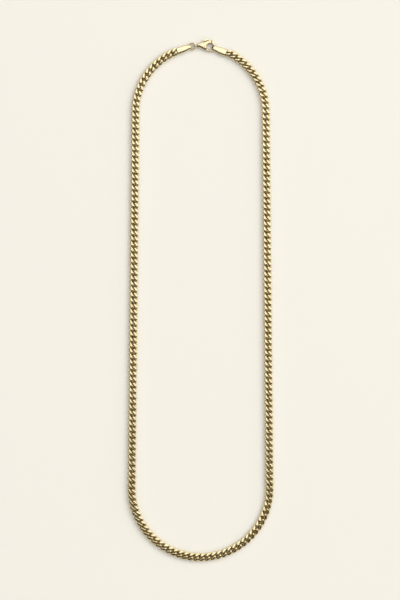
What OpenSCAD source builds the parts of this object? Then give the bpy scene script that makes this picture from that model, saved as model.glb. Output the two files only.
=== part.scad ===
// Cuban link neck chain with a lobster clasp, lying flat in its whole loop.
// +Z is up and the loop lies on the plane z = 0, with the clasp at +Y and the front of the neck at -Y.
// Each link is a closed oval loop of wire, twisted so that one end of each side stands high.
// Its two halves are flat slabs here, rolled opposite ways about the chain, so neighbours cross.

/* [Loop] */
// Length of the whole necklace along its middle line, clasp included
loop_len = 558.8; // [508:1:610]
// Radius of the bend at the back of the neck, at the clasp
back_r = 31; // [28:0.5:34]
// Radius of the bend at the front of the neck
front_r = 32.8; // [30:0.5:36]

/* [Links] */
// Width of the chain
chain_w = 4; // [3.6:0.1:4.4]
// Thickness of the chain between its two ground faces
chain_t = 2.2; // [2.1:0.05:2.4]
// Diameter of the link wire
wire_d = 1.2; // [1.1:0.05:1.3]
// Wished distance from one link to the next, rounded so that whole links fill the loop
link_pitch = 2.68; // [2.5:0.01:2.8]
// Roll of each half link about the chain
link_roll = 22; // [18:1:24]
// Gap left between two stretches of chain
stretch_gap = 0.1; // [0.05:0.01:0.2]

/* [End tags] */
// Distance from a tag's wide end to the cross hole at its nose
tag_len = 6.2; // [5:0.1:7]
// Width from the wide end, where the last link is soldered on, to the shoulder
tag_wide = 3.3; // [2.8:0.1:3.4]
// Distance from the cross hole back to the shoulder, where a tag starts to narrow
tag_shoulder = 2.8; // [2.4:0.1:4.5]
// Width at the cross hole
tag_narrow = 2; // [1.6:0.1:2]
// Thickness of a tag, which is also the diameter of its round nose
tag_t = 2.1; // [2:0.05:2.15]
// Diameter of the cross hole
tag_hole_d = 1.45; // [1.43:0.01:1.48]
// How far the last link's end is sunk into the tag
tag_bite = 0.3; // [0.2:0.1:0.6]

/* [Jump ring] */
// Diameter of the ring's wire
ring_wire = 0.7; // [0.6:0.05:0.8]
// Mean diameter of the ring
ring_d = 3.1; // [3.1:0.05:3.2]

/* [Clasp] */
// Diameter of the hole that the hook and the lever close
hook_hole_d = 3.3; // [3.2:0.05:3.4]
// Diameter of the hook's wire
hook_wire = 0.86; // [0.8:0.01:0.9]
// Thickness of the clasp's body
body_t = 2; // [1.8:0.05:2.2]
// Distance from the hook's middle back to the eye
eye_reach = 7; // [7:0.05:7.2]
// Mean radius of the upright eye
eye_r = 0.8; // [0.76:0.01:0.8]
// Diameter of the eye's wire
eye_wire = 0.5; // [0.45:0.05:0.55]
// Thickness of the crest over the hook's root
crest_t = 1.5; // [1:0.1:1.8]
// Thickness of the lever
lever_t = 0.8; // [0.7:0.05:0.85]
// Radius of the lever's boss around its pivot
boss_r = 0.8; // [0.7:0.05:0.8]
// Radius of the thumb tab's round ends
tab_r = 0.36; // [0.3:0.01:0.4]
// Thickness of the thumb tab
tab_t = 1.6; // [1.2:0.1:1.8]
// Diameter of the pivot pin
pin_d = 0.6; // [0.5:0.05:0.65]
// Play of the pin across its hole in the body
pin_play = 0.04; // [0.02:0.01:0.06]
// Play of the lever across its pin
lever_play = 0.1; // [0.06:0.01:0.14]
// How far the lever is open: 0 is closed, as stored
lever_turn = 0; // [0:1:26]

/* [Hidden] */
$fn = 64;

mid_z = chain_t / 2;
// The two halves of a link reach this far past its middle, so that they are one piece
lap = 0.03;

// The loop is two arcs joined by straight sides
side_run = (loop_len - PI * (back_r + front_r)) / 2;
back_y = side_run / 2;
front_y = -side_run / 2;
side_lean = asin((front_r - back_r) / side_run);
side_len = side_run * cos(side_lean);

// The clasp and both tags are placed outwards from the middle of the hook's hole
hook_r = (hook_hole_d + hook_wire) / 2;
clasp_at = [4.5, back_y + 31];
clasp_turn = -3;
ring_turn = 6;
tag_turn_left = 18.5;
tag_turn_right = 158.5;
function ahead(from, turn, far) = from + far * [cos(turn), sin(turn)];
eye_at = ahead(clasp_at, clasp_turn, -eye_reach);
ring_at = ahead(eye_at, ring_turn, -ring_d / 2);

// A bent wire crosses a straight hole off its middle by a part of its bow
bow_share = 0.68;
function bow(r) = r - sqrt(r * r - tag_narrow * tag_narrow / 4);
left_hole = ahead(ring_at, tag_turn_left, -ring_d / 2 + bow_share * bow(ring_d / 2));
right_hole = ahead(clasp_at, tag_turn_right, -hook_r + bow_share * bow(hook_r));
left_root = ahead(left_hole, tag_turn_left, -tag_len);
right_root = ahead(right_hole, tag_turn_right, -tag_len);

// The chain fills the loop from one tag's wide end to the other's
left_start = asin(-left_root[0] / back_r);
right_start = asin(right_root[0] / back_r);
deg = PI / 180;
run_1 = back_r * (90 - left_start - side_lean) * deg;
run_2 = run_1 + side_len;
run_3 = run_2 + front_r * (180 + 2 * side_lean) * deg;
run_4 = run_3 + side_len;
run_5 = run_4 + back_r * (90 - right_start - side_lean) * deg;
cells = round(run_5 / link_pitch);
pitch = run_5 / cells;
stretches = 5;
cells_each = floor((cells - 2) / stretches);
function stretch_from(i) = 1 + cells_each * i;
function stretch_to(i) = i == stretches - 1 ? cells - 1 : stretch_from(i + 1);

// A place on the loop: [x, y, heading], from the left tag round the front to the right tag
function on_arc(y, r, angle) = [r * cos(angle), y + r * sin(angle), angle + 90];
function on_side(y, r, angle, far) =
  [r * cos(angle) + far * cos(angle + 90), y + r * sin(angle) + far * sin(angle + 90), angle + 90];
function place(s) =
  s < run_1 ? on_arc(back_y, back_r, 90 + left_start + s / back_r / deg) :
  s < run_2 ? on_side(back_y, back_r, 180 - side_lean, s - run_1) :
  s < run_3 ? on_arc(front_y, front_r, 180 - side_lean + (s - run_2) / front_r / deg) :
  s < run_4 ? on_side(front_y, front_r, side_lean, s - run_3) :
  on_arc(back_y, back_r, side_lean + (s - run_4) / back_r / deg);

// One half of a link, from its middle to its round end
half_r = (chain_w - wire_d * sin(link_roll)) / 2 / cos(link_roll);
half_len = (pitch + 2 * wire_d) / 2;
module half_link(start) {
  intersection() {
    rotate([-link_roll, 0, 0])
      translate([0, 0, -wire_d / 2])
        linear_extrude(wire_d)
          intersection() {
            translate([half_len - half_r, 0]) circle(half_r);
            translate([start, -chain_w]) square([half_len, 2 * chain_w]);
          }
    translate([-chain_w, -chain_w, -chain_t / 2])
      cube([half_len + 2 * chain_w, 2 * chain_w, chain_t]);
  }
}

// Links from one middle to a later one: two stretches meet at a link's middle and leave a gap
module links(from, to) {
  for (k = [from : to], way = [0, 180])
    if (!(k == from && way == 180) && !(k == to && way == 0)) {
      at = place(k * pitch);
      soldered = k == 0 || k == cells;
      cut = !soldered && (k == from || k == to);
      translate([at[0], at[1], mid_z])
        rotate([0, 0, at[2] + way])
          half_link(cut ? stretch_gap / 2 : -lap);
    }
}

module chain_stretch(i) {
  color("gold") links(stretch_from(i), stretch_to(i));
}

// Half the width of a tag at x along it
function tag_half(x) = (tag_narrow + (tag_wide - tag_narrow) * min(1, -x / tag_shoulder)) / 2;

// Bar that narrows from its shoulder to a round nose, which carries a cross hole
module tag_bar() {
  nose = tag_t / 2;
  back = -tag_len - tag_bite;
  difference() {
    intersection() {
      translate([0, 0, -nose])
        linear_extrude(tag_t)
          polygon([
            for (x = [back, -tag_shoulder, nose]) [x, -tag_half(x)],
            for (x = [nose, -tag_shoulder, back]) [x, tag_half(x)]
          ]);
      rotate([90, 0, 0])
        translate([0, 0, -tag_wide])
          linear_extrude(2 * tag_wide)
            union() {
              circle(nose);
              translate([back, -nose]) square([-back, tag_t]);
            }
    }
    rotate([90, 0, 0]) cylinder(d = tag_hole_d, h = 2 * tag_wide, center = true);
  }
}

module end_tag(hole, turn, from, to) {
  color("gold") union() {
    translate([hole[0], hole[1], mid_z]) rotate([0, 0, turn]) tag_bar();
    links(from, to);
  }
}

module jump_ring() {
  color("gold")
    translate([ring_at[0], ring_at[1], mid_z])
      rotate_extrude() translate([ring_d / 2, 0]) circle(d = ring_wire);
}

// The clasp is drawn around the middle of the hook's hole, with the eye towards -X
module on_clasp() {
  translate([clasp_at[0], clasp_at[1], mid_z]) rotate([0, 0, clasp_turn]) children();
}

pivot = [-2.75, -0.35];
tab_from = [-2.85, 2.75];
tab_to = [-1.3, 3.3];
crest_at = [-0.1, 0.75];
crest_r = 2.35;
slot_t = lever_t + 0.1;
hook_from = -110;
hook_to = 118;
gate_from = 205;
gate_to = 275;
rim_t = 0.4;
tip_at = [-0.25, -hook_r];
tip_slant = 50;
tip_gap = 0.12;
tip_block = 1.2;

// A stretch of round wire along the rim of the hook's hole
module rim_wire(d, from, to) {
  rotate([0, 0, from])
    rotate_extrude(angle = to - from) translate([hook_r, 0]) circle(d = d);
}

// The block on one side of the slanted joint between the hook's tip and the lever
module past_tip(side) {
  translate([tip_at[0], tip_at[1], 0])
    rotate([0, 0, tip_slant])
      translate([-tip_block, side > 0 ? -tip_gap / 2 : tip_gap / 2 - tip_block, -tip_block])
        cube([2 * tip_block, tip_block, 2 * tip_block]);
}

// Outline of the body: eye end, long shoulder, hook's root, then the heel and back
module body_plate() {
  translate([0, 0, -body_t / 2])
    linear_extrude(body_t)
      difference() {
        polygon([
          [-6.45, 0.8], [-1.65, 2.65], [-0.75, 2.65], [-0.75, 0],
          [-1.25, -1], [-2.05, -1.85], [-5.2, -0.45], [-6.45, -0.5]
        ]);
        circle(d = hook_hole_d);
      }
}

// Crest that thickens the hook over its root
module crest() {
  translate([0, 0, -crest_t / 2])
    linear_extrude(crest_t)
      difference() {
        translate(crest_at) circle(crest_r);
        circle(d = hook_hole_d);
        translate([-2 * crest_r, -2 * crest_r]) square([4 * crest_r, 2 * crest_r + crest_at[1]]);
      }
}

module pin_bar(d, h) {
  translate([pivot[0], pivot[1], -h / 2]) cylinder(d = d, h = h);
}

// Room for the lever between the two cheeks, closed in front at the hook's root
module lever_slot() {
  translate([0, 0, -slot_t / 2])
    linear_extrude(slot_t)
      polygon([[-3.95, -3], [-0.5, -3], [-0.5, 0.9], [-1.2, 0.9], [-1.2, 4], [-3.95, 4]]);
}

module clasp_body() {
  color("gold") on_clasp() union() {
    difference() {
      union() {
        body_plate();
        crest();
      }
      lever_slot();
      pin_bar(pin_d + pin_play, 2 * body_t);
    }
    difference() {
      rim_wire(hook_wire, hook_from, hook_to);
      past_tip(1);
    }
    translate([-eye_reach, 0, 0])
      rotate([90, 0, 0])
        rotate_extrude() translate([eye_r, 0]) circle(d = eye_wire);
  }
}

// Thumb tab: a straight bar with round ends, lying along the top of the body
module thumb_tab() {
  along = tab_to - tab_from;
  translate([0, 0, -tab_t / 2])
    linear_extrude(tab_t)
      union() {
        translate(tab_from) circle(tab_r);
        translate(tab_to) circle(tab_r);
        translate(tab_from)
          rotate(atan2(along[1], along[0]))
            translate([0, -tab_r]) square([norm(along), 2 * tab_r]);
      }
}

// Lever: pivot boss, gate along the hole's rim, and an arm up to the thumb tab
module lever_shape() {
  difference() {
    union() {
      translate([0, 0, -lever_t / 2])
        linear_extrude(lever_t)
          union() {
            translate(pivot) circle(boss_r);
            intersection() {
              difference() {
                circle(hook_r + rim_t);
                circle(hook_hole_d / 2 + lap);
              }
              polygon([[0, 0], [-4, 1.4], [-4, -4], [-2.7, -4]]);
            }
            polygon([[-3.2, -0.35], [-2.3, -0.35], [-1.65, 3.1], [-2.5, 2.85]]);
          }
      thumb_tab();
      rim_wire(lever_t, gate_from, gate_to);
    }
    past_tip(-1);
    pin_bar(pin_d + lever_play, 2 * body_t);
  }
}

module clasp_lever() {
  color("gold") on_clasp()
    translate([pivot[0], pivot[1], 0])
      rotate([0, 0, lever_turn])
        translate([-pivot[0], -pivot[1], 0])
          lever_shape();
}

module clasp_pin() {
  color("gold") on_clasp() pin_bar(pin_d, body_t);
}

chain_stretch(0);  // chain_back_left
chain_stretch(1);  // chain_side_left
chain_stretch(2);  // chain_front
chain_stretch(3);  // chain_side_right
chain_stretch(4);  // chain_back_right
end_tag(left_hole, tag_turn_left, 0, 1);  // end_tag_left
end_tag(right_hole, tag_turn_right, cells - 1, cells);  // end_tag_right
jump_ring();
clasp_body();
clasp_lever();
clasp_pin();
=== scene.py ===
"""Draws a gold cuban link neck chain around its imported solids, lying on a pale floor."""

import math
import random

import bmesh
import bpy
import numpy as np
from bpy.props import FloatProperty, IntProperty, PointerProperty, StringProperty
from mathutils import Matrix, Vector


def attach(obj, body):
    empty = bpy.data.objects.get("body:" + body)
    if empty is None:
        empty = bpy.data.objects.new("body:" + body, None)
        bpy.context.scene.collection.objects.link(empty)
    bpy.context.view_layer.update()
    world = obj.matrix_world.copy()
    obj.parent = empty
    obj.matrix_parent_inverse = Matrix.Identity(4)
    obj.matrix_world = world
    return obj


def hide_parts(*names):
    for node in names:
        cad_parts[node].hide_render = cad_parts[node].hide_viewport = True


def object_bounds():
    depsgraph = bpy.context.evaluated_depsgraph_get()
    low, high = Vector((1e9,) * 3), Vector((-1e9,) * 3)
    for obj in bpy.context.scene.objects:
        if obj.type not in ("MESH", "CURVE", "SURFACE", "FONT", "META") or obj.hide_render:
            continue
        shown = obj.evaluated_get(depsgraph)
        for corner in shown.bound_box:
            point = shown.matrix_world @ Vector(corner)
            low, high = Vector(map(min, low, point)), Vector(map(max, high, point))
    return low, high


bl_info = {
    "name": "Cuban link neck chain",
    "version": (1, 0, 0),
    "blender": (4, 5, 0),
    "location": "View3D > Sidebar > Neck chain",
    "description": "Builds a gold cuban link neck chain with end tags and a lobster clasp",
    "category": "Object",
}

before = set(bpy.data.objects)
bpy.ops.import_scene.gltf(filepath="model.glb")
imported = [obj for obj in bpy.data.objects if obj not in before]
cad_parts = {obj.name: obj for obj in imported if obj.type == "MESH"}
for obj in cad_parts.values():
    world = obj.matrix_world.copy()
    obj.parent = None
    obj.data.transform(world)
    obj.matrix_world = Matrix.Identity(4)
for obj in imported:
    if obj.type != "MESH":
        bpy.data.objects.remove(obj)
CAD_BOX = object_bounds()
CAD_HEIGHT = CAD_BOX[1][2] - CAD_BOX[0][2]

MM = 0.001
BODY = "necklace"
LEVER_BODY = "lever"


# Sizes and colours that a user would change


def length(name, description, default, least, most):
    """A size in metres, given here in millimetres."""
    return FloatProperty(
        name=name, description=description, default=default * MM, min=least * MM,
        max=most * MM, unit="LENGTH", subtype="DISTANCE", precision=5,
    )


def hex_colour(name, description, default):
    """An sRGB colour written as a hex value."""
    return StringProperty(name=name, description=description, default=default, maxlen=7)


class ChainSizes(bpy.types.PropertyGroup):
    loop_length: length("Loop length", "Length of the whole necklace along its middle line", 558.8, 508, 610)
    back_radius: length("Back radius", "Radius of the bend at the clasp", 31, 28, 34)
    front_radius: length("Front radius", "Radius of the bend at the front", 32.8, 30, 36)
    width: length("Chain width", "Width of the chain", 4, 3.6, 4.4)
    thickness: length("Chain thickness", "Distance between the two ground faces", CAD_HEIGHT / MM, 2.1, 2.4)
    wire: length("Wire", "Diameter of the link wire", 1.2, 1.1, 1.3)
    rise: length("Rise", "How high a link's side twists above its middle", 0.68, 0.6, 0.8)
    pitch: length("Wished pitch", "Wished distance from one link to the next", 2.68, 2.5, 2.8)
    bends: IntProperty(name="Bends", description="Rings of points around a link", default=48, min=24, max=64)


class FindingSizes(bpy.types.PropertyGroup):
    tag_length: length("Tag length", "From a tag's wide end to its cross hole", 6.2, 5, 7)
    tag_wide: length("Tag wide end", "Width from the soldered link to the shoulder", 3.3, 2.8, 3.4)
    tag_shoulder: length("Tag shoulder", "From the cross hole back to where a tag narrows", 2.8, 2.4, 4.5)
    tag_narrow: length("Tag at its hole", "Width at the cross hole", 2, 1.6, 2)
    tag_thick: length("Tag thickness", "Thickness of a tag, and diameter of its round nose", 2.1, 2, 2.15)
    tag_hole: length("Cross hole", "Diameter of the hole through a tag's nose", 1.45, 1.43, 1.48)
    ring_wire: length("Ring wire", "Diameter of the jump ring's wire", 0.7, 0.6, 0.8)
    ring_across: length("Ring", "Mean diameter of the jump ring", 3.1, 3.1, 3.2)
    hook_hole: length("Hook hole", "Diameter of the hole that the hook closes", 3.3, 3.2, 3.4)
    hook_wire: length("Hook wire", "Diameter of the hook's wire", 0.86, 0.8, 0.9)
    eye_reach: length("Eye reach", "From the hook's middle back to the eye", 7, 7, 7.2)
    voxel: length("Casting grain", "Size of the cells that the cast pieces are meshed in", 0.05, 0.04, 0.1)


class Finish(bpy.types.PropertyGroup):
    gold: hex_colour("Gold", "Yellow gold, polished", "#F6EAC4")
    deep_gold: hex_colour("Deep gold", "Yellow gold where the alloy is richer", "#F0DDAB")
    # Painted shade: this colour darkens the gold where shade falls between the links, on the soldered links
    # beside the tags, inside the ring and in the clasp's slot and hole. It is also the real dark of the
    # ring's seam.
    tarnish: hex_colour("Tarnish", "Skin and polishing paste left between the links", "#8C6414")
    floor: hex_colour("Floor", "Pale cream paper", "#F0EDE4")
    light: hex_colour("Light", "Soft studio light", "#FFFFFF")
    room: hex_colour("Room", "Warm dim room around the table", "#F4E2BC")


class StageSizes(bpy.types.PropertyGroup):
    view_wide: length("View width", "Width that the camera sees at the chain", 190.4, 150, 300)
    view_x: length("View middle", "Where the camera's middle falls across the loop", -0.29, -5, 5)
    camera_height: length("Camera height", "Height of the camera above the floor", 1500, 800, 2500)


# Where everything lies


def ahead(point, turn, far):
    """The point that lies far ahead of another, in the direction turn."""
    return point + far * np.array([math.cos(turn), math.sin(turn)])


def bow(radius, width):
    """How far a bent wire bows within a straight hole of that width."""
    return radius - math.sqrt(radius**2 - width**2 / 4)


class Layout:
    """The places of the links, the tags, the ring and the clasp, all in the frame's own axes."""

    CLASP_TURN = math.radians(-3)
    RING_TURN = math.radians(6)
    TAG_TURN_LEFT = math.radians(18.5)
    TAG_TURN_RIGHT = math.radians(158.5)
    CLASP_OFF_AXIS = 4.5 * MM
    CLASP_PAST_ARC = 31 * MM
    BOW_SHARE = 0.68
    STRETCHES = 5

    def __init__(self, chain, finding):
        self.back_r, self.front_r = chain.back_radius, chain.front_radius
        side_run = (chain.loop_length - math.pi * (self.back_r + self.front_r)) / 2
        self.back_y, self.front_y = side_run / 2, -side_run / 2
        self.lean = math.asin((self.front_r - self.back_r) / side_run)
        side_len = side_run * math.cos(self.lean)
        self.mid_z = CAD_HEIGHT / 2

        hook_r = (finding.hook_hole + finding.hook_wire) / 2
        self.clasp_at = np.array([self.CLASP_OFF_AXIS, self.back_y + self.CLASP_PAST_ARC])
        eye_at = ahead(self.clasp_at, self.CLASP_TURN, -finding.eye_reach)
        ring_r = finding.ring_across / 2
        self.ring_at = ahead(eye_at, self.RING_TURN, -ring_r)
        left_reach = self.BOW_SHARE * bow(ring_r, finding.tag_narrow) - ring_r
        right_reach = self.BOW_SHARE * bow(hook_r, finding.tag_narrow) - hook_r
        self.left_hole = ahead(self.ring_at, self.TAG_TURN_LEFT, left_reach)
        self.right_hole = ahead(self.clasp_at, self.TAG_TURN_RIGHT, right_reach)
        left_root = ahead(self.left_hole, self.TAG_TURN_LEFT, -finding.tag_length)
        right_root = ahead(self.right_hole, self.TAG_TURN_RIGHT, -finding.tag_length)

        self.left_start = math.asin(-left_root[0] / self.back_r)
        right_start = math.asin(right_root[0] / self.back_r)
        quarter = math.pi / 2
        self.runs = np.cumsum([
            self.back_r * (quarter - self.left_start - self.lean), side_len,
            self.front_r * (math.pi + 2 * self.lean), side_len,
            self.back_r * (quarter - right_start - self.lean),
        ])
        self.cells = round(self.runs[-1] / chain.pitch)
        self.pitch = self.runs[-1] / self.cells
        self.cells_each = (self.cells - 2) // self.STRETCHES

    def arc(self, y, radius, angle, far=0.0):
        """A place on an arc of the loop, or far along the straight side that leaves the arc there."""
        out = np.array([math.cos(angle), math.sin(angle)])
        along = np.array([-out[1], out[0]])
        return np.array([0.0, y]) + radius * out + far * along, angle + math.pi / 2

    def place(self, s):
        """The point and the heading at s along the chain, from the left tag round the front."""
        run_1, run_2, run_3, run_4, _ = self.runs
        if s < run_1:
            return self.arc(self.back_y, self.back_r, math.pi / 2 + self.left_start + s / self.back_r)
        if s < run_2:
            return self.arc(self.back_y, self.back_r, math.pi - self.lean, s - run_1)
        if s < run_3:
            angle = math.pi - self.lean + (s - run_2) / self.front_r
            return self.arc(self.front_y, self.front_r, angle)
        if s < run_4:
            return self.arc(self.front_y, self.front_r, self.lean, s - run_3)
        return self.arc(self.back_y, self.back_r, self.lean + (s - run_4) / self.back_r)

    def link_matrix(self, number):
        """Puts a link that is drawn around its own middle into its place on the loop."""
        point, heading = self.place(number * self.pitch)
        return Matrix.Translation((*point, self.mid_z)) @ Matrix.Rotation(heading, 4, "Z")

    def stretch(self, index):
        """The numbers of the links in one stretch of the chain."""
        first = 1 + self.cells_each * index
        last = self.cells if index == self.STRETCHES - 1 else first + self.cells_each
        return range(first, last)

    def clasp_matrix(self):
        """Puts what is drawn around the middle of the hook's hole into its place."""
        return Matrix.Translation((*self.clasp_at, self.mid_z)) @ Matrix.Rotation(self.CLASP_TURN, 4, "Z")

    def tag_matrix(self, hole, turn):
        """Puts a tag that is drawn around its cross hole into its place."""
        return Matrix.Translation((*hole, self.mid_z)) @ Matrix.Rotation(turn, 4, "Z")


def settings():
    """The four groups of values that the sidebar shows."""
    scene = bpy.context.scene
    return scene.chain_sizes, scene.finding_sizes, scene.chain_finish, scene.chain_stage


# Materials


CLOUD_SIZE = 6 * MM
SCUFF_SIZE = 0.35 * MM
SCUFF_GLOSS = 0.12
# Where shade is painted, and at the ring's seam, the gold is made rougher by this much
SHADE_AND_SEAM_GLOSS = 0.25
LINE_STRENGTH = 0.5
TOOTH_SIZE = 0.4 * MM
TOOTH_DEPTH = 0.02 * MM


def linear(hex_value):
    """An sRGB hex value as linear red, green, blue and a full alpha."""
    parts = [int(hex_value[i:i + 2], 16) / 255 for i in (1, 3, 5)]
    return (*[c / 12.92 if c <= 0.04045 else ((c + 0.055) / 1.055) ** 2.4 for c in parts], 1.0)


def add_node(tree, kind, own=None, inputs=None):
    """Adds a node, gives it its own settings, and sets each input or links it to a socket."""
    node = tree.nodes.new(kind)
    for name, value in (own or {}).items():
        setattr(node, name, value)
    for name, value in (inputs or {}).items():
        if isinstance(value, bpy.types.NodeSocket):
            tree.links.new(value, node.inputs[name])
        else:
            node.inputs[name].default_value = value
    return node


def new_material(name):
    """An empty material with its tree, its shader and its object coordinates."""
    material = bpy.data.materials.new(name)
    material.use_nodes = True
    tree = material.node_tree
    where = add_node(tree, "ShaderNodeTexCoord").outputs["Object"]
    return material, tree, tree.nodes["Principled BSDF"], where


def polished_gold(name, finish, smooth, rough, line_size, stretch, line_depth):
    """Yellow gold of 14 karat: a pale warm metal whose alloy is a little uneven.

    smooth and rough are the roughness where it is ground and where it isn't. The polishing lines are
    line_size wide and line_depth deep, and stretch is how many times longer they are along each axis.
    A mix node takes numbers at its inputs 2 and 3 and colours at 6 and 7, and gives them at 0 and 2."""
    material, tree, shader, where = new_material(name)
    tone, ground, shade_and_seam = (
        add_node(tree, "ShaderNodeAttribute", {"attribute_name": key}).outputs["Fac"]
        for key in ("tone", "ground", "shade_and_seam")
    )
    clouds = add_node(tree, "ShaderNodeTexNoise", inputs={
        "Vector": where, "Scale": 1 / CLOUD_SIZE, "Detail": 2.0,
    })
    scuffs = add_node(tree, "ShaderNodeTexNoise", inputs={
        "Vector": where, "Scale": 1 / SCUFF_SIZE, "Detail": 4.0,
    })
    uneven = add_node(tree, "ShaderNodeMix", {"data_type": "FLOAT"}, {
        "Factor": 0.5, 2: clouds.outputs["Fac"], 3: tone,
    })
    colour = linear(finish.gold)
    # The alloy's uneven tone is mixed in first, then painted shade, and the ring's dark seam, in their own
    # colour
    for share, other in ((uneven.outputs[0], finish.deep_gold), (shade_and_seam, finish.tarnish)):
        mix = add_node(tree, "ShaderNodeMix", {"data_type": "RGBA"}, {
            "Factor": share, 6: colour, 7: linear(other),
        })
        colour = mix.outputs[2]

    gloss = rough - SCUFF_GLOSS / 2
    # Ground faces are smoother, scuffs vary the roughness, and painted shade and the seam make it rougher
    for share, change in (
        (ground, smooth - rough), (scuffs.outputs["Fac"], SCUFF_GLOSS), (shade_and_seam, SHADE_AND_SEAM_GLOSS),
    ):
        added = add_node(tree, "ShaderNodeMath", {"operation": "MULTIPLY_ADD"}, {
            0: share, 1: change, 2: gloss,
        })
        gloss = added.outputs[0]

    stretched = add_node(tree, "ShaderNodeMapping", inputs={
        "Vector": where, "Scale": [1 / s for s in stretch],
    })
    lines = add_node(tree, "ShaderNodeTexNoise", inputs={
        "Vector": stretched.outputs[0], "Scale": 1 / line_size, "Detail": 3.0,
    })
    bump = add_node(tree, "ShaderNodeBump", inputs={
        "Strength": LINE_STRENGTH, "Distance": line_depth, "Height": lines.outputs["Fac"],
    })
    shader.inputs["Metallic"].default_value = 1.0
    for name, source in (("Base Color", colour), ("Roughness", gloss), ("Normal", bump.outputs[0])):
        tree.links.new(source, shader.inputs[name])
    return material


def ground_link_gold(finish):
    """Drawn gold wire, linked, soldered, then ground flat on two faces and buffed.

    The ground leaves are bright and nearly mirrors; the round wire beside them is softer. The wheel's real
    lines are about 0.02 mm wide; they are drawn 0.15 mm wide, so that they soften a close view."""
    return polished_gold("ground_link_gold", finish, 0.14, 0.24, 0.15 * MM, (3, 1, 1), 0.004 * MM)


def buffed_tag_gold(finish):
    """Rolled gold bar, tapered and buffed roughly along its length, which leaves faint lines.

    The real lines are about 0.02 mm wide; they are drawn 0.1 mm wide, so that they show."""
    return polished_gold("buffed_tag_gold", finish, 0.16, 0.22, 0.1 * MM, (8, 1, 1), 0.005 * MM)


def cast_clasp_gold(finish):
    """Lost-wax cast gold, tumbled and polished: soft edges and a faintly rippled skin."""
    return polished_gold("cast_clasp_gold", finish, 0.14, 0.2, 0.4 * MM, (1, 1, 1), 0.01 * MM)


def drawn_ring_gold(finish):
    """Drawn gold wire bent round a mandrel and closed: bright, with a faintly uneven skin."""
    return polished_gold("drawn_ring_gold", finish, 0.14, 0.18, 0.2 * MM, (1, 1, 1), 0.004 * MM)


def cream_paper(finish):
    """Seamless background paper, calendered: matt, with the faintest tooth.

    Real tooth is under 0.1 mm wide; it is drawn wider, so that it breaks the light up at all."""
    material, tree, shader, where = new_material("cream_paper")
    tooth = add_node(tree, "ShaderNodeTexNoise", inputs={
        "Vector": where, "Scale": 1 / TOOTH_SIZE, "Detail": 3.0,
    })
    bump = add_node(tree, "ShaderNodeBump", inputs={
        "Strength": 0.1, "Distance": TOOTH_DEPTH, "Height": tooth.outputs["Fac"],
    })
    shader.inputs["Base Color"].default_value = linear(finish.floor)
    shader.inputs["Roughness"].default_value = 0.9
    shader.inputs["Specular IOR Level"].default_value = 0.1
    tree.links.new(bump.outputs[0], shader.inputs["Normal"])
    return material


def material_once(make, finish):
    """The material that make builds, built only the first time."""
    found = bpy.data.materials.get(make.__name__)
    return found or make(finish)


# Meshes


def new_piece(name, vertices, faces, values=None):
    """A smooth-shaded mesh object with a value at each point for each name in values."""
    mesh = bpy.data.meshes.new(name)
    mesh.from_pydata([tuple(v) for v in vertices], [], [tuple(f) for f in faces])
    for key, numbers in (values or {}).items():
        store_values(mesh, key, numbers)
    mesh.shade_smooth()
    mesh.update()
    piece = bpy.data.objects.new(name, mesh)
    bpy.context.scene.collection.objects.link(piece)
    return piece


def store_values(mesh, key, numbers):
    """Stores one number for each point of a mesh under a name that a material can read."""
    layer = mesh.attributes.get(key) or mesh.attributes.new(key, "FLOAT", "POINT")
    layer.data.foreach_set("value", np.asarray(numbers, np.float32))


def points_of(mesh):
    """The points of a mesh as an array with a row for each."""
    flat = np.zeros(3 * len(mesh.vertices), np.float32)
    mesh.vertices.foreach_get("co", flat)
    return flat.reshape(-1, 3).astype(float)


def tube_faces(rings, sides):
    """The faces of a closed tube whose points run round each ring in turn."""
    ring, side = np.meshgrid(np.arange(rings), np.arange(sides), indexing="ij")
    after, beside = (ring + 1) % rings, (side + 1) % sides
    corners = (ring * sides + side, after * sides + side, after * sides + beside, ring * sides + beside)
    return np.stack([c.ravel() for c in corners], axis=1)


def finish_piece(piece, body, node, make_material):
    """Gives a piece its gold and its body, and hides the solid that it stands for."""
    piece.data.materials.clear()
    piece.data.materials.append(material_once(make_material, settings()[2]))
    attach(piece, body)
    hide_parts(node)
    return piece


def bake_modifiers(piece):
    """Turns what the modifiers make of a piece into its own mesh."""
    shaped = piece.evaluated_get(bpy.context.evaluated_depsgraph_get())
    mesh = bpy.data.meshes.new_from_object(shaped)
    old = piece.data
    piece.modifiers.clear()
    piece.data = mesh
    bpy.data.meshes.remove(old)


def cast_in_one(piece, voxel, passes):
    """Makes one skin of all that a piece holds, and softens its edges as tumbling does.

    The voxels work in millimetres, because Blender takes none under 0.0001 of its own unit."""
    piece.data.transform(Matrix.Scale(1 / MM, 4))
    skin = piece.modifiers.new("one skin", "REMESH")
    skin.mode, skin.voxel_size, skin.use_smooth_shade = "VOXEL", voxel / MM, True
    tumble = piece.modifiers.new("tumbling", "SMOOTH")
    tumble.factor, tumble.iterations = 0.5, passes
    bake_modifiers(piece)
    piece.data.transform(Matrix.Scale(MM, 4))
    piece.data.shade_smooth()


def join_meshes(name, pieces):
    """One object that holds the meshes of several."""
    bm = bmesh.new()
    for piece in pieces:
        bm.from_mesh(piece.data)
        bpy.data.objects.remove(piece)
    mesh = bpy.data.meshes.new(name)
    bm.to_mesh(mesh)
    bm.free()
    joined = bpy.data.objects.new(name, mesh)
    bpy.context.scene.collection.objects.link(joined)
    return joined


# Links


def powered(wave, power):
    """A wave raised to a power that keeps its sign."""
    return np.sign(wave) * np.abs(wave) ** power


def plateau(wave, firmness):
    """A wave whose crests are flattened, the more so the greater the firmness."""
    return np.tanh(firmness * wave) / math.tanh(firmness)


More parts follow.
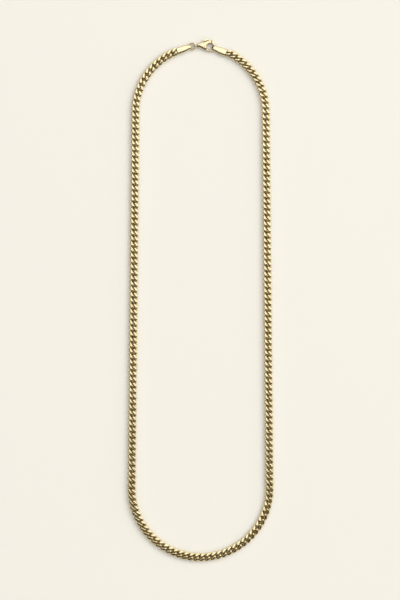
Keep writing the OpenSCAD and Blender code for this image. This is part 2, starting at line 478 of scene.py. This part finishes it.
class LinkShape:
    """One link around its own middle: a closed oval of wire, twisted, with two ground faces."""

    # How square its outline is, how flat its twist stands, and its play in its neighbours
    OUTLINE_POWER = 1.8
    TWIST_FIRMNESS = 1.5
    PLAY = 0.03 * MM
    # How much fuller its two ends are outwards, and how quickly that falls off
    END_SPREAD = 0.18
    END_FALL = 8
    # The ground faces: their soft edges, their crown, the least ground off, and the slant on the wheel
    FACE_SOFTNESS = 0.1 * MM
    FACE_CROWN = 0.06 / MM
    LEAST_GRIND = 0.012 * MM
    GRIND_SLANT = 0.006
    # How close the painted shade keeps to the wire's inner side, where the links shade each other, and how
    # strong it is
    CREVICE_POWER = 1.6
    CREVICE_SHARE = 0.2
    # Rows of points along the wire: up a flank, over a face's edge and across the face
    FLANK_ROWS, EDGE_ROWS, FACE_ROWS = 3, 2, 3
    # How far past the face the edge's rows end, and the highest that they may start and end
    EDGE_PAST_FACE = 1.2
    EDGE_START_MOST, EDGE_END_MOST = 0.9, 0.95

    def __init__(self, chain, pitch):
        self.half_thickness = chain.thickness / 2
        half_width = (chain.width - chain.wire) / 2
        half_length = (pitch + chain.wire + self.PLAY) / 2
        turn = np.linspace(0, 2 * np.pi, chain.bends, endpoint=False)
        twist = np.sin(2 * turn)
        line = np.stack([
            half_length * powered(np.cos(turn), 2 / self.OUTLINE_POWER),
            half_width * powered(np.sin(turn), 2 / self.OUTLINE_POWER),
            -chain.rise * plateau(twist, self.TWIST_FIRMNESS),
        ], axis=1)
        along = np.roll(line, -1, axis=0) - np.roll(line, 1, axis=0)
        outward = np.cross(along, [0, 0, 1])
        outward /= np.linalg.norm(outward, axis=1)[:, None]
        upward = np.cross(outward, along)
        upward /= np.linalg.norm(upward, axis=1)[:, None]
        around = self.rows(line[:, 2], chain.wire / 2 * upward[:, 2])
        spread = 1 + self.END_SPREAD * np.cos(turn)[:, None] ** self.END_FALL * (np.cos(around) > 0)
        self.points = (
            line[:, None] + chain.wire / 2 * (
                (spread * np.cos(around))[:, :, None] * outward[:, None]
                + np.sin(around)[:, :, None] * upward[:, None]
            )
        ).reshape(-1, 3)
        # Painted shade on the inner side of the wire, where the links shade each other
        inner = np.clip(-np.cos(around), 0, 1).ravel()
        self.shade_and_seam = self.CREVICE_SHARE * inner**self.CREVICE_POWER
        self.faces = tube_faces(*around.shape)

    def rows(self, height, reach):
        """The angles of the points around the wire at each bend.

        They crowd at the edges of both ground faces, so that each edge is a clean line."""
        angles = []
        for side in (1, -1):
            to_face = self.half_thickness - side * height
            edge_start = (to_face - self.FACE_SOFTNESS) / reach
            edge_end = (to_face + self.EDGE_PAST_FACE * self.FACE_SOFTNESS) / reach
            start = np.arcsin(np.clip(edge_start, 0, self.EDGE_START_MOST))
            end = np.arcsin(np.clip(edge_end, 0, self.EDGE_END_MOST))
            stops = (0 * start, start, end, np.pi - end, np.pi - start, 0 * start + np.pi)
            counts = (self.FLANK_ROWS, self.EDGE_ROWS, self.FACE_ROWS, self.EDGE_ROWS, self.FLANK_ROWS)
            half_turn = 0 if side > 0 else np.pi
            for first, last, count in zip(stops, stops[1:], counts):
                angles += [half_turn + first + (last - first) * k / count for k in range(count)]
        return np.stack(angles, axis=1)

    def ground(self, draw):
        """The link's points after grinding, and how much was ground off at each.

        Each link meets the wheel at its own slight slant, which draw gives."""
        points = self.points.copy()
        slants = [draw.uniform(-self.GRIND_SLANT, self.GRIND_SLANT) for _ in range(4)]
        for side, slant in ((1, slants[:2]), (-1, slants[2:])):
            height = side * points[:, 2]
            lean = points[:, 0] * slant[0] + points[:, 1] * slant[1]
            face = self.half_thickness - self.LEAST_GRIND + lean - self.FACE_CROWN * points[:, 1] ** 2
            start = np.minimum(face, self.half_thickness) - self.FACE_SOFTNESS
            over = np.maximum(height - start, 0) / self.FACE_SOFTNESS
            kept = start + self.FACE_SOFTNESS * np.tanh(over)
            points[:, 2] = np.where(height > start, side * kept, points[:, 2])
        lost = np.abs(self.points[:, 2] - points[:, 2])
        return points, np.clip(lost / self.FACE_SOFTNESS, 0, 1)


def draw_links(name, layout, shape, numbers):
    """Draws the numbered links as one mesh."""
    points, faces, values = [], [], {"shade_and_seam": [], "ground": [], "tone": []}
    for order, number in enumerate(numbers):
        draw = random.Random(number)
        link, ground = shape.ground(draw)
        matrix = np.array(layout.link_matrix(number))
        points.append(link @ matrix[:3, :3].T + matrix[:3, 3])
        faces.append(shape.faces + order * len(link))
        # The painted shade is left off the ground faces
        values["shade_and_seam"].append(shape.shade_and_seam * (1 - ground))
        values["ground"].append(ground)
        values["tone"].append(np.full(len(link), draw.random()))
    values = {key: np.concatenate(rows) for key, rows in values.items()}
    return new_piece(name, np.concatenate(points), np.concatenate(faces), values)


class NECKCHAIN_OT_links(bpy.types.Operator):
    """Draw the links of all five stretches of chain"""

    bl_idname = "neckchain.links"
    bl_label = "Links"

    def execute(self, context):
        chain, finding, _, _ = settings()
        layout = Layout(chain, finding)
        shape = LinkShape(chain, layout.pitch)
        for index, part in enumerate(("back_left", "side_left", "front", "side_right", "back_right")):
            piece = draw_links("links_" + part, layout, shape, layout.stretch(index))
            finish_piece(piece, BODY, "chain_" + part, ground_link_gold)
        return {"FINISHED"}


# End tags


class TagShape:
    """A tapered bar with softened edges and a round nose, drawn around its cross hole."""

    SIDES = 48
    STATIONS = 12
    # How square its section is, how long its wide end's soft edge is, and how far it covers the link
    CORNER_POWER = 3.6
    SOFT_END = 0.25 * MM
    PAST_ROOT = 0.15 * MM
    # The nose is round from top to bottom, and its two sides draw in by this share of that
    SIDES_DRAW_IN = 0.3
    NOSE_TURNS = np.radians([15, 30, 45, 58, 70, 80, 86])
    # How far a link keeps under the tag's skin
    LINK_UNDER = 0.3 * MM
    # The ground faces reach this deep, and painted shade lies on the link beyond the root, growing over this
    # length
    FACE_DEPTH = 0.15 * MM
    TARNISH_FADE = 0.5 * MM
    TARNISH_SHARE = 0.35

    def __init__(self, finding):
        self.length, self.shoulder = finding.tag_length, finding.tag_shoulder
        self.wide, self.narrow, self.thick = finding.tag_wide, finding.tag_narrow, finding.tag_thick

    def stations(self):
        """Places along the bar, each with the share of its full size that it has there."""
        back, nose = -self.length - self.PAST_ROOT, self.thick / 2
        places = [(back, 0.86), (back + 0.3 * self.SOFT_END, 0.95), (back + self.SOFT_END, 1.0)]
        places += [(x, 1.0) for x in np.linspace(back + 2 * self.SOFT_END, 0, self.STATIONS)]
        return places + [(nose * math.sin(turn), math.cos(turn)) for turn in self.NOSE_TURNS]

    def bar(self):
        """The bar's own mesh, before it is drilled and soldered."""
        around = np.linspace(0, 2 * np.pi, self.SIDES, endpoint=False)
        across = powered(np.cos(around), 2 / self.CORNER_POWER)
        upright = powered(np.sin(around), 2 / self.CORNER_POWER)
        rings = []
        for x, share in self.stations():
            half_wide = (self.narrow + (self.wide - self.narrow) * min(1, -x / self.shoulder)) / 2
            side_share = 1 - (1 - share) * (self.SIDES_DRAW_IN if x > 0 else 1.0)
            rings.append(np.stack([
                np.full_like(around, x), across * half_wide * side_share, upright * self.thick / 2 * share,
            ], axis=1))
        tube = tube_faces(len(rings), self.SIDES)[:(len(rings) - 1) * self.SIDES]
        last = (len(rings) - 1) * self.SIDES
        ends = [tuple(range(self.SIDES)), tuple(reversed(range(last, last + self.SIDES)))]
        return new_piece("tag_bar", np.concatenate(rings), [*tube, *ends])

    def sink(self, mesh):
        """Holds a link under the tag's skin, with a slope up to the link's own size behind the tag."""
        points = points_of(mesh)
        before_tag = np.maximum(-self.length - points[:, 0], 0)
        for axis, size in ((1, self.wide), (2, self.thick)):
            most = size / 2 - self.LINK_UNDER + before_tag
            points[:, axis] = np.clip(points[:, axis], -most, most)
        mesh.vertices.foreach_set("co", points.ravel())
        mesh.update()

    def shade(self, mesh):
        """Marks the ground faces, and the painted shade on the link where it leaves the tag."""
        points = points_of(mesh)
        past_root = np.clip((-self.length - points[:, 0]) / self.TARNISH_FADE, 0, 1)
        face = np.abs(points[:, 2]) > self.thick / 2 - self.FACE_DEPTH
        store_values(mesh, "shade_and_seam", self.TARNISH_SHARE * past_root * ~face)
        store_values(mesh, "ground", face.astype(float))
        store_values(mesh, "tone", np.zeros(len(points)))


def drill(piece, radius, reach, matrix):
    """Takes a round hole out of a piece, along the matrix's own Z axis."""
    bm = bmesh.new()
    bmesh.ops.create_cone(
        bm, cap_ends=True, segments=48, radius1=radius, radius2=radius, depth=reach, matrix=matrix
    )
    mesh = bpy.data.meshes.new("drill")
    bm.to_mesh(mesh)
    bm.free()
    bit = bpy.data.objects.new("drill", mesh)
    bpy.context.scene.collection.objects.link(bit)
    hole = piece.modifiers.new("hole", "BOOLEAN")
    hole.operation, hole.object, hole.solver = "DIFFERENCE", bit, "EXACT"
    bpy.context.view_layer.update()
    bake_modifiers(piece)
    bpy.data.objects.remove(bit)


def soldered_tag(name, layout, finding, shape, hole, turn, number):
    """A tag with the chain's last link soldered to its wide end, as one skin."""
    matrix = layout.tag_matrix(hole, turn)
    tag_shape = TagShape(finding)
    bar = tag_shape.bar()
    drill(bar, finding.tag_hole / 2, 2 * finding.tag_wide, Matrix.Rotation(math.radians(90), 4, "X"))
    link = draw_links("last_link", layout, shape, [number])
    link.data.transform(matrix.inverted())
    tag_shape.sink(link.data)
    tag = join_meshes(name, [bar, link])
    cast_in_one(tag, finding.voxel, 4)
    tag_shape.shade(tag.data)
    tag.data.transform(matrix)
    return tag


class NECKCHAIN_OT_end_tags(bpy.types.Operator):
    """Draw the two end tags with their soldered last links"""

    bl_idname = "neckchain.end_tags"
    bl_label = "End tags"

    def execute(self, context):
        chain, finding, _, _ = settings()
        layout = Layout(chain, finding)
        shape = LinkShape(chain, layout.pitch)
        for side, hole, turn, number in (
            ("left", layout.left_hole, layout.TAG_TURN_LEFT, 0),
            ("right", layout.right_hole, layout.TAG_TURN_RIGHT, layout.cells),
        ):
            tag = soldered_tag("tag_" + side, layout, finding, shape, hole, turn, number)
            finish_piece(tag, BODY, "end_tag_" + side, buffed_tag_gold)
        return {"FINISHED"}


# Jump ring


SEAM_TURN = math.radians(-60)
SEAM_REACH = 0.03
SEAM_DEPTH = 0.12
# Painted shade on the ring's inner side
INNER_SHADE = 0.4


def wire_ring(name, mean_radius, wire):
    """A round of wire whose butted ends leave a fine seam."""
    rings, sides = 144, 24
    turn = np.linspace(0, 2 * np.pi, rings, endpoint=False)
    around = np.linspace(0, 2 * np.pi, sides, endpoint=False)
    away = np.abs((turn - SEAM_TURN + np.pi) % (2 * np.pi) - np.pi)
    seam = np.exp(-((away / SEAM_REACH) ** 2))
    thin = wire / 2 * (1 - SEAM_DEPTH * seam)[:, None]
    reach = mean_radius + thin * np.cos(around)
    points = np.stack([
        reach * np.cos(turn)[:, None], reach * np.sin(turn)[:, None], thin * np.sin(around),
    ], axis=2).reshape(-1, 3)
    # The seam is a real dark joint; the ring's inner side gets painted shade
    inward = np.tile(INNER_SHADE * np.clip(-np.cos(around), 0, 1), rings)
    plain = np.zeros(len(points))
    values = {"shade_and_seam": np.maximum(np.repeat(seam, sides), inward), "ground": plain, "tone": plain}
    return new_piece(name, points, tube_faces(rings, sides), values)


class NECKCHAIN_OT_jump_ring(bpy.types.Operator):
    """Draw the jump ring between the left tag and the clasp"""

    bl_idname = "neckchain.jump_ring"
    bl_label = "Jump ring"

    def execute(self, context):
        chain, finding, _, _ = settings()
        layout = Layout(chain, finding)
        ring = wire_ring("ring", finding.ring_across / 2, finding.ring_wire)
        ring.data.transform(Matrix.Translation((*layout.ring_at, layout.mid_z)))
        finish_piece(ring, BODY, "jump_ring", drawn_ring_gold)
        return {"FINISHED"}


# Clasp


WELD = 0.0005 * MM
SMALL_GRAIN = 0.8


def copy_of_node(name, node, matrix):
    """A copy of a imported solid's mesh, welded, drawn around the clasp's own middle."""
    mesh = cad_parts[node].data.copy()
    mesh.transform(matrix.inverted())
    bm = bmesh.new()
    bm.from_mesh(mesh)
    bmesh.ops.remove_doubles(bm, verts=bm.verts, dist=WELD)
    bm.to_mesh(mesh)
    bm.free()
    for layer in [a for a in mesh.attributes if a.name == "custom_normal"]:
        mesh.attributes.remove(layer)
    piece = bpy.data.objects.new(name, mesh)
    bpy.context.scene.collection.objects.link(piece)
    return piece


def distance_to_outline(points, outline):
    """How far each point lies from the nearest edge of a closed outline, in plan."""
    best = np.full(len(points), np.inf)
    for start, end in zip(outline, np.roll(outline, -1, axis=0)):
        along = end - start
        share = np.clip(((points - start) @ along) / (along @ along), 0, 1)
        best = np.minimum(best, np.linalg.norm(points - start - share[:, None] * along, axis=1))
    return best


class ClaspCase:
    """The clasp's two cheeks, crowned towards their edges, with the hook and the eye.

    The outline is the plan of the cheeks, around the middle of the hook's hole."""

    OUTLINE = MM * np.array([
        [-6.45, 0.8], [-1.65, 2.65], [-0.75, 3.0], [0.5, 3.05], [0.4, 1.4], [-1.1, 0],
        [-0.75, -1.2], [-2.05, -1.85], [-5.2, -0.45], [-6.45, -0.5],
    ])
    # The cheeks begin this far from the middle, and their crown ends at a share of their thickness
    CHEEK_FROM = 0.45 * MM
    CROWN_WIDTH = 1.0 * MM
    EDGE_SHARE = 0.12
    # Painted shade in the slot between the cheeks, behind the hole
    SLOT_END, SLOT_FADE, SLOT_SHARE = -0.8 * MM, 0.4 * MM, 0.6
    # Painted shade on the wall around the hole, and where it is left off the lit lower end
    WALL_DEPTH, WALL_SHARE = 0.3 * MM, 0.9
    RUBBED_FROM, RUBBED_FADE = -0.5 * MM, 0.5 * MM
    TONE = 0.2

    def crown(self, mesh):
        """Thins the cheeks towards the clasp's outline."""
        points = points_of(mesh)
        inward = distance_to_outline(points[:, :2], self.OUTLINE) / self.CROWN_WIDTH
        dome = np.sqrt(1 - (1 - np.clip(inward, 0, 1)) ** 2)
        share = self.EDGE_SHARE + (1 - self.EDGE_SHARE) * dome
        height = np.abs(points[:, 2])
        over = np.maximum(height - self.CHEEK_FROM, 0)
        points[:, 2] = np.sign(points[:, 2]) * (height - over + over * share)
        mesh.vertices.foreach_set("co", points.ravel())
        mesh.update()


    def shade(self, mesh, hook_hole):
        """Paints shade between the cheeks and on the wall around the hook's hole.

        The hook's lower end, where light falls, is left unshaded."""
        points = points_of(mesh)
        between = np.clip(1 - np.abs(points[:, 2]) / self.CHEEK_FROM, 0, 1)
        behind_hole = np.clip((self.SLOT_END - points[:, 0]) / self.SLOT_FADE, 0, 1)
        slot_shade = self.SLOT_SHARE * between * behind_hole
        past_wall = np.hypot(points[:, 0], points[:, 1]) - hook_hole / 2
        unshaded = np.clip((self.RUBBED_FROM - points[:, 1]) / self.RUBBED_FADE, 0, 1)
        wall_shade = self.WALL_SHARE * np.clip(1 - past_wall / self.WALL_DEPTH, 0, 1) * (1 - unshaded)
        store_values(mesh, "shade_and_seam", np.maximum(slot_shade, wall_shade))
        store_values(mesh, "ground", np.zeros(len(points)))
        store_values(mesh, "tone", np.full(len(points), self.TONE))


def finish_clasp_piece(piece, matrix, body, node, make_material):
    """Paints shade onto a piece of the clasp and puts it into its place."""
    ClaspCase().shade(piece.data, settings()[1].hook_hole)
    piece.data.transform(matrix)
    finish_piece(piece, body, node, make_material)


def small_casting(name, node, passes, body, make_material):
    """Draws one of the clasp's two small pieces, with softened edges."""
    chain, finding, _, _ = settings()
    matrix = Layout(chain, finding).clasp_matrix()
    piece = copy_of_node(name, node, matrix)
    cast_in_one(piece, finding.voxel * SMALL_GRAIN, passes)
    finish_clasp_piece(piece, matrix, body, node, make_material)


class NECKCHAIN_OT_clasp_case(bpy.types.Operator):
    """Draw the lobster clasp's two cheeks, its hook and its eye, cast in one"""

    bl_idname = "neckchain.clasp_case"
    bl_label = "Clasp case"

    def execute(self, context):
        chain, finding, _, _ = settings()
        matrix = Layout(chain, finding).clasp_matrix()
        case = copy_of_node("clasp_case", "clasp_body", matrix)
        cast_in_one(case, finding.voxel, 3)
        ClaspCase().crown(case.data)
        cast_in_one(case, finding.voxel, 4)
        finish_clasp_piece(case, matrix, BODY, "clasp_body", cast_clasp_gold)
        return {"FINISHED"}


class NECKCHAIN_OT_clasp_lever(bpy.types.Operator):
    """Draw the clasp's lever, with its thumb tab and its gate"""

    bl_idname = "neckchain.clasp_lever"
    bl_label = "Clasp lever"

    def execute(self, context):
        small_casting("lever", "clasp_lever", 4, LEVER_BODY, cast_clasp_gold)
        return {"FINISHED"}


class NECKCHAIN_OT_clasp_pin(bpy.types.Operator):
    """Draw the pin that the lever turns on"""

    bl_idname = "neckchain.clasp_pin"
    bl_label = "Clasp pin"

    def execute(self, context):
        small_casting("pin", "clasp_pin", 3, BODY, drawn_ring_gold)
        return {"FINISHED"}


# Stage


FLOOR_HALF = 6.0
FLOOR_DROP = 0.01 * MM
PHOTO_HIGH_TO_WIDE = 600 / 400
ROOM_STRENGTH = 0.09

# Each soft box: its name, its place, what it faces, its width and depth, its radiance, and whether the gold
# mirrors it. The key and the fill light the paper; the overhead and the window are what the gold shows.
LIGHTS = (
    ("overhead", (2.6, 3.8, 4.5), (2.6, 3.8, 0), (9.0, 8.2), 1.24, True),
    ("key", (2.9, 1.5, 2.9), (0, 0, 0), (2.7, 2.7), 2.2, False),
    ("window", (5.0, 0.5, 1.5), (0, 0.5, 0), (6.0, 2.8), 1.15, True),
    ("fill", (0, 0, 4.5), (0, 0, 0), (14, 14), 0.66, False),
)


def soft_light(name, at, towards, size, radiance, in_gloss, colour):
    """A soft box that the camera doesn't see."""
    lamp = bpy.data.lights.new(name, "AREA")
    lamp.shape, (lamp.size, lamp.size_y) = "RECTANGLE", size
    lamp.energy = radiance * math.pi * size[0] * size[1]
    lamp.color = linear(colour)[:3]
    holder = bpy.data.objects.new(name, lamp)
    holder.location = at
    holder.rotation_euler = (Vector(towards) - Vector(at)).to_track_quat("-Z", "Y").to_euler()
    holder.visible_camera = False
    holder.visible_glossy = in_gloss
    bpy.context.scene.collection.objects.link(holder)


class NECKCHAIN_OT_stage(bpy.types.Operator):
    """Set up the pale floor, the soft studio light and the camera straight above"""

    bl_idname = "neckchain.stage"
    bl_label = "Floor, light and camera"

    def execute(self, context):
        _, _, finish, stage = settings()
        scene = context.scene
        corners = [(x * FLOOR_HALF, y * FLOOR_HALF, 0) for x, y in ((-1, -1), (1, -1), (1, 1), (-1, 1))]
        floor = new_piece("floor", corners, [(0, 1, 2, 3)])
        floor.location.z = -FLOOR_DROP
        floor.data.materials.append(material_once(cream_paper, finish))

        for light in LIGHTS:
            soft_light(*light, finish.light)

        world = bpy.data.worlds.new("studio")
        world.use_nodes = True
        back = world.node_tree.nodes["Background"]
        back.inputs["Color"].default_value = linear(finish.room)
        back.inputs["Strength"].default_value = ROOM_STRENGTH
        scene.world = world

        camera = bpy.data.cameras.new("camera")
        long_side = stage.view_wide * PHOTO_HIGH_TO_WIDE
        camera.lens = camera.sensor_width * (stage.camera_height - CAD_HEIGHT / 2) / long_side
        holder = bpy.data.objects.new("camera", camera)
        holder.location = (stage.view_x, 0, stage.camera_height)
        scene.collection.objects.link(holder)
        scene.camera = holder
        scene.view_settings.view_transform = "Standard"
        return {"FINISHED"}


class NECKCHAIN_PT_panel(bpy.types.Panel):
    """Sizes, colours and the pieces of the neck chain"""

    bl_label = "Neck chain"
    bl_idname = "NECKCHAIN_PT_panel"
    bl_space_type = "VIEW_3D"
    bl_region_type = "UI"
    bl_category = "Neck chain"

    def draw(self, context):
        for group in settings():
            box = self.layout.box()
            for name in group.bl_rna.properties.keys():
                if name not in ("rna_type", "name"):
                    box.prop(group, name)
        for operator in OPERATORS:
            self.layout.operator(operator.bl_idname)


GROUPS = {
    "chain_sizes": ChainSizes,
    "finding_sizes": FindingSizes,
    "chain_finish": Finish,
    "chain_stage": StageSizes,
}
OPERATORS = (
    NECKCHAIN_OT_stage,
    NECKCHAIN_OT_links,
    NECKCHAIN_OT_end_tags,
    NECKCHAIN_OT_jump_ring,
    NECKCHAIN_OT_clasp_case,
    NECKCHAIN_OT_clasp_lever,
    NECKCHAIN_OT_clasp_pin,
)


def register():
    for name, group in GROUPS.items():
        bpy.utils.register_class(group)
        setattr(bpy.types.Scene, name, PointerProperty(type=group))
    for operator in OPERATORS:
        bpy.utils.register_class(operator)
    bpy.utils.register_class(NECKCHAIN_PT_panel)


def unregister():
    bpy.utils.unregister_class(NECKCHAIN_PT_panel)
    for operator in reversed(OPERATORS):
        bpy.utils.unregister_class(operator)
    for name, group in GROUPS.items():
        delattr(bpy.types.Scene, name)
        bpy.utils.unregister_class(group)


def main():
    """Builds the stage and every piece."""
    register()
    bpy.ops.neckchain.stage()
    bpy.ops.neckchain.links()
    bpy.ops.neckchain.end_tags()
    bpy.ops.neckchain.jump_ring()
    bpy.ops.neckchain.clasp_case()
    bpy.ops.neckchain.clasp_lever()
    bpy.ops.neckchain.clasp_pin()


if __name__ == "__main__":
    main()
